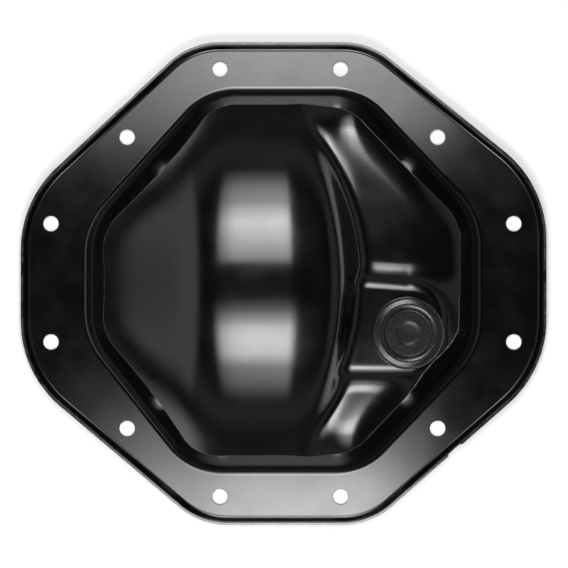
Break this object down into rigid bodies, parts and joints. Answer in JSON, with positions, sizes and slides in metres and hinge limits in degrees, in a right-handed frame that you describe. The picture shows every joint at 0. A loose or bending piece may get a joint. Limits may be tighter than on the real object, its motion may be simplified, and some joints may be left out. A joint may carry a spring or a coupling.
{
  "type": "differential cover",
  "caption": "Pressed octagonal axle cover with a turned-up rim, bolt holes round its flange, a deep off-centre dome and a push-in rubber fill plug on a raised pad.",
  "frame": {"origin": "centre of the bolt holes, on the mating face", "axes": "+Z out of the dome, square to the mating face; +X along the axle, towards the side with the fill plug; +Y across the axle"},
  "size_m": [0.3313, 0.3044, 0.075],
  "materials": {
    "black_paint": "semi-gloss black paint on pressed steel",
    "plug_rubber": "moulded black rubber, slightly shiny"
  },
  "bodies": {
    "root": {"cover": "black_paint", "fill_plug": "plug_rubber"}
  },
  "joints": []
}
